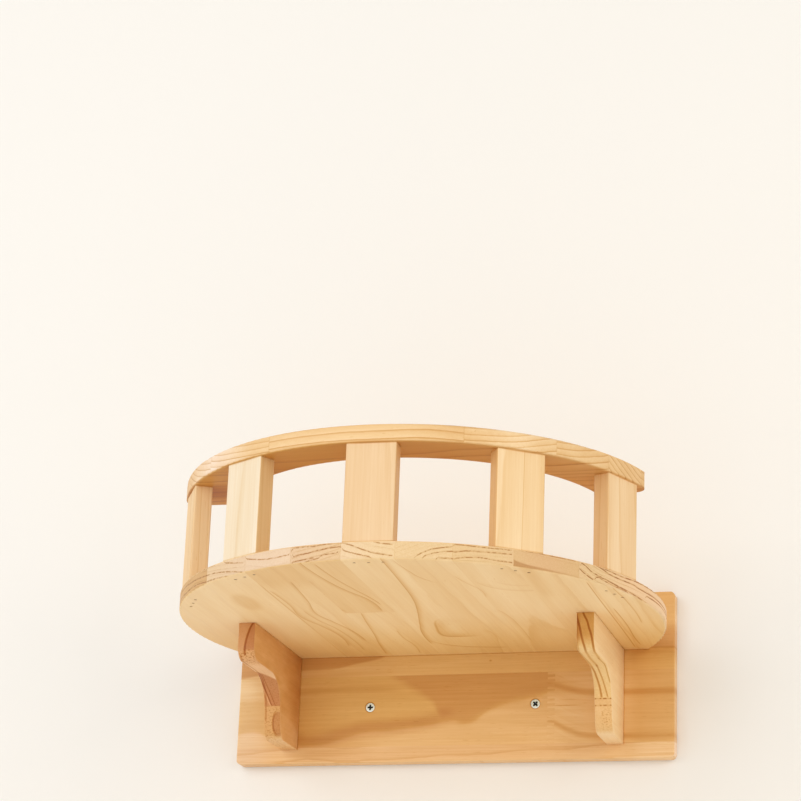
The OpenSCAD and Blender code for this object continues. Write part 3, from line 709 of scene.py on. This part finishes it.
def screw_into(bm, place, head_d, thread_d, neck_d, neck_len, length, cross_turn=0.0, tip=4.0, pitch=1.8):
    """A countersunk cross-head screw. place puts its axis: its head's face is at 0 and it points along local +Z."""
    around = 48
    head_r = head_d / 2
    cross = head_r * 0.62

    def sunk(x, y):
        """How deep the cross is at a point of the head."""
        c, s = math.cos(cross_turn), math.sin(cross_turn)
        a, b = abs(x * c + y * s), abs(y * c - x * s)
        a, b = max(a, b), min(a, b)
        wide = head_d * 0.105 * (1 - 0.3 * a / cross)
        if a > cross:
            return 0
        side = min(1, max(0, (wide + 0.12 - b) / 0.24))
        end = min(1, (cross - a) / 0.35)
        return head_d * (0.19 - 0.06 * a / cross) * side * end

    rows = []
    steps = 26
    for k in range(steps):
        r = max(0.04, head_r * 0.93 * k / (steps - 1))
        row = []
        for j in range(around * 2):
            t = math.pi * j / around
            x, y = r * math.cos(t), r * math.sin(t)
            hollow = sunk(x, y)
            rise = 0.05 * (1 - (r / head_r) ** 2)
            # The fourth number is painted shade, deeper where the cross sinks.
            row.append((x, y, hollow + 0.06 - rise, min(1, hollow / head_d * 9)))
        rows.append(row)
    outline = [(head_r * 0.985, 0.12), (head_r, 0.3), (head_r, 0.5)]
    cone = head_r - neck_d / 2
    outline += [(neck_d / 2 + 0.15, 0.5 + cone - 0.15), (neck_d / 2, 0.5 + cone + 0.25), (neck_d / 2, neck_len)]
    for r, z in outline:
        rows.append([(r * math.cos(math.pi * j / around), r * math.sin(math.pi * j / around), z)
                     for j in range(around * 2)])
    rings(bm, rows, place)

    # The thread: one ridge that climbs round the core, as a height over it.
    rows = []
    per_turn, spokes = 8, 32
    count = int((length - neck_len) / pitch * per_turn)
    for k in range(count + 1):
        z = neck_len - 0.3 + (length - neck_len + 0.3) * k / count
        full = min(1, max(0, (z - neck_len) / 1.5))
        left = (length - z) / tip
        taper = 1 if left >= 1 else max(0.04, left) ** 0.85
        row = []
        for j in range(spokes):
            t = 2 * math.pi * j / spokes
            f = (z / pitch - j / spokes) % 1
            ridge = max(0, 1 - abs(f - 0.5) / 0.28)
            core = neck_d / 2 * 0.93
            r = (core + (thread_d / 2 - core) * ridge * full) * taper
            row.append((r * math.cos(t), r * math.sin(t), z))
        rows.append(row)
    rings(bm, rows, place)


def nail_into(bm, place, length, shank_d=1.8, head_d=3.0, head_t=0.8, tip=2.0):
    """A wire nail, its head's face at 0, along local +Z."""
    h, s = head_d / 2, shank_d / 2
    outline = [(0.02, 0.02), (h * 0.55, 0.03), (h * 0.85, 0.10), (h, 0.28), (h, head_t * 0.8), (h * 0.9, head_t),
               (s * 1.15, head_t + 0.1), (s, head_t + 0.6), (s, length - tip), (s * 0.55, length - tip * 0.45), (0.06, length)]
    around = 24
    rings(bm, [[(r * math.cos(2 * math.pi * j / around), r * math.sin(2 * math.pi * j / around), z)
                for j in range(around)] for r, z in outline], place)


def at(x, y, z, toward):
    """Local +Z turned to a direction, from a point in mm; local mm become metres."""
    turn = Vector(toward).to_track_quat("Z", "Y").to_matrix().to_4x4()
    return Matrix.Translation(Vector((x, y, z)) * MM) @ turn @ Matrix.Scale(MM, 4)


def screws(node, places, material, **sizes):
    bm = bmesh.new()
    bm.verts.layers.float.new("recess_shade")
    for p in places:
        screw_into(bm, p, **sizes)
    bmesh.ops.recalc_face_normals(bm, faces=bm.faces)
    return add_piece(node + "_steel", bm, material, node, angle=40)


def nails(node, places, material):
    bm = bmesh.new()
    bm.verts.layers.float.new("recess_shade")
    for p in places:
        nail_into(bm, p, 36)
    bmesh.ops.recalc_face_normals(bm, faces=bm.faces)
    return add_piece(node + "_steel", bm, material, node, angle=40)


# ---------------------------------------------------------------- wood

def dress(node, material):
    for s in nodes[node].material_slots:
        s.material = material


dress("back_board", board_pine())
dress("deck", deck_pine())
dress("top_rail", rail_pine())
# Each post: angle, base colour, tone, pith across, pith above or below, ring, seed, glue line, how dark its lines are,
# and painted shade on its narrow sides (negative: painted light).
for k, (angle, *grain) in enumerate([
        (-64, (0.93, 0.675, 0.40), 0.16, -30, 120, 7, 11, None, 0.5, -0.12),
        (-34, (0.92, 0.765, 0.57), -0.05, 40, 160, 8, 12, None, 0.3, 1.15),
        (0, (0.85, 0.595, 0.352), 0.0, -20, 170, 8, 13, None, 0.4, 0.75),
        (34, (0.95, 0.70, 0.42), 0.08, 5, 190, 8, 14, 2.5, 0.4, 0.85),
        (64, (0.92, 0.655, 0.385), 0.1, 50, -130, 8, 15, None, 0.5, 0.2)]):
    dress(f"post_{k + 1}", post_pine(f"pine_post_{k + 1}", angle, *grain))
eased_copy("bracket_left", bracket_pine("pine_bracket_left", BRACKET_MID_LEFT, 0.1, (0.90, 0.57, 0.29), 21, left_figure, 0.035))
eased_copy("bracket_right", bracket_pine("pine_bracket_right", BRACKET_MID_RIGHT, -0.1, (0.95, 0.69, 0.39), 22, right_figure, -0.03))

# ---------------------------------------------------------------- screws and nails

zinc_screw, steel_nail = zinc(), nail_steel()
assembly = dict(head_d=8, thread_d=4, neck_d=3.4, length=40)
wall = dict(head_d=10, thread_d=5, neck_d=4.4, neck_len=14.6, length=50, pitch=2.4)
screws("wall_screw_left", [at(-91, -14.6, 0, (0, 1, 0))], zinc_screw, cross_turn=0.0, **wall)
screws("wall_screw_right", [at(91, -14.6, 0, (0, 1, 0))], zinc_screw, cross_turn=math.pi / 4, **wall)
screws("deck_back_screws", [at(x, -0.4, 65, (0, -1, 0)) for x in (-120, 0, 120)], zinc_screw, neck_len=14.6, **assembly)
for side, mid in (("left", BRACKET_MID_LEFT), ("right", BRACKET_MID_RIGHT)):
    screws(f"bracket_back_screws_{side}", [at(mid, -0.4, z, (0, -1, 0)) for z in (37, -16)], zinc_screw,
           neck_len=14.6, cross_turn=0.3, **assembly)
    screws(f"bracket_arm_screws_{side}", [at(mid, y, 73.6, (0, 0, -1)) for y in (-63, -141)], zinc_screw,
           neck_len=17.6, cross_turn=0.5, **assembly)
for k, angle in enumerate(POST_ANGLES):
    a = math.radians(angle + RAIL_TURN)
    mid = Vector((math.sin(a), -math.cos(a))) * POST_R + Vector((0, DECK_CENTRE_Y))
    along = Vector((math.cos(a), math.sin(a)))
    nails(f"post_nails_{k + 1}", [at(*(mid + along * t), 56.3, (0, 0, 1)) for t in (-14, 0, 14)], steel_nail)
    nails(f"rail_nails_{k + 1}", [at(*(mid + along * t), 190.2, (0, 0, -1)) for t in (-14, 14)], steel_nail)


# ---------------------------------------------------------------- camera, light, stage

def camera():
    az, el, roll = math.radians(16.12), math.radians(19.01), math.radians(2.26)
    look = Vector((-0.03732, -0.130, 0.30746))
    ahead = Vector((-math.sin(az) * math.cos(el), math.cos(az) * math.cos(el), math.sin(el)))
    side = Vector((math.cos(az), math.sin(az), 0))
    top = side.cross(ahead)
    right = side * math.cos(roll) + top * math.sin(roll)
    up = top * math.cos(roll) - side * math.sin(roll)
    data = bpy.data.cameras.new("camera")
    data.lens, data.sensor_width = 116.45, 36
    cam = bpy.data.objects.new("camera", data)
    turn = Matrix((right, up, -ahead)).transposed().to_4x4()
    cam.matrix_world = Matrix.Translation(look - ahead * 2.77236) @ turn
    scene.collection.objects.link(cam)
    scene.camera = cam


def sheet_of(name, corners, material):
    mesh = bpy.data.meshes.new(name)
    mesh.from_pydata(corners, [], [(0, 1, 2, 3)])
    mesh.materials.append(material)
    obj = bpy.data.objects.new(name, mesh)
    scene.collection.objects.link(obj)


def lamp(name, spot, aim, size, power, colour):
    data = bpy.data.lights.new(name, "AREA")
    data.shape, data.size, data.size_y = "RECTANGLE", size[0], size[1]
    data.energy, data.color = power, colour
    obj = bpy.data.objects.new(name, data)
    obj.matrix_world = Matrix.Translation(Vector(spot)) @ (
        Vector(aim) - Vector(spot)).to_track_quat("-Z", "Y").to_matrix().to_4x4()
    scene.collection.objects.link(obj)


def world(light, strength, shown):
    w = bpy.data.worlds.new("studio")
    w.use_nodes = True
    t = w.node_tree
    t.nodes.clear()
    out, mix = t.nodes.new("ShaderNodeOutputWorld"), t.nodes.new("ShaderNodeMixShader")
    lit, seen, path = t.nodes.new("ShaderNodeBackground"), t.nodes.new("ShaderNodeBackground"), t.nodes.new("ShaderNodeLightPath")
    lit.inputs[0].default_value, lit.inputs[1].default_value = (*light, 1), strength
    seen.inputs[0].default_value, seen.inputs[1].default_value = (*shown, 1), 1.0
    any_of = [path.outputs["Is Camera Ray"], path.outputs["Is Glossy Ray"], path.outputs["Is Transmission Ray"]]
    first, second = t.nodes.new("ShaderNodeMath"), t.nodes.new("ShaderNodeMath")
    first.operation = second.operation = "MAXIMUM"
    t.links.new(any_of[0], first.inputs[0]); t.links.new(any_of[1], first.inputs[1])
    t.links.new(first.outputs[0], second.inputs[0]); t.links.new(any_of[2], second.inputs[1])
    t.links.new(second.outputs[0], mix.inputs[0])
    t.links.new(lit.outputs[0], mix.inputs[1]); t.links.new(seen.outputs[0], mix.inputs[2])
    t.links.new(mix.outputs[0], out.inputs[0])
    scene.world = w


WALL_Y, FLOOR_Z, REACH = 0.0006, -1.05, 5.0
# The wall has a cut-out behind the board, so that its rear face gets light too.
BOARD_X, BOARD_LOW, BOARD_TOP = 0.2378, -0.0578, 0.1158
paint = plain("wall_paint", (0.935, 0.91, 0.895))
for name, x0, x1, z0, z1 in (("left", -REACH, -BOARD_X, FLOOR_Z, REACH), ("right", BOARD_X, REACH, FLOOR_Z, REACH),
                             ("low", -BOARD_X, BOARD_X, FLOOR_Z, BOARD_LOW), ("top", -BOARD_X, BOARD_X, BOARD_TOP, REACH)):
    sheet_of(f"wall_{name}", [(x0, WALL_Y, z0), (x1, WALL_Y, z0), (x1, WALL_Y, z1), (x0, WALL_Y, z1)], paint)
sheet_of("floor", [(-REACH, -REACH, FLOOR_Z), (REACH, -REACH, FLOOR_Z), (REACH, WALL_Y, FLOOR_Z), (-REACH, WALL_Y, FLOOR_Z)],
         plain("floor_paint", (0.88, 0.84, 0.79)))
SHELF = (0.0, -0.15, 0.06)
lamp("key", (-1.2, -2.7, 1.2), SHELF, (2.0, 2.0), 17.5, (1.0, 1.0, 1.0))
lamp("left", (-2.05, -2.1, 0.3), SHELF, (1.6, 2.0), 10, (1.0, 1.0, 1.0))
lamp("right", (1.9, -2.0, 0.5), SHELF, (1.4, 1.4), 15, (1.0, 0.955, 0.86))
world((1.0, 0.99, 0.92), 0.67, (0.97, 0.93, 0.88))
camera()
scene.view_settings.view_transform = "Standard"
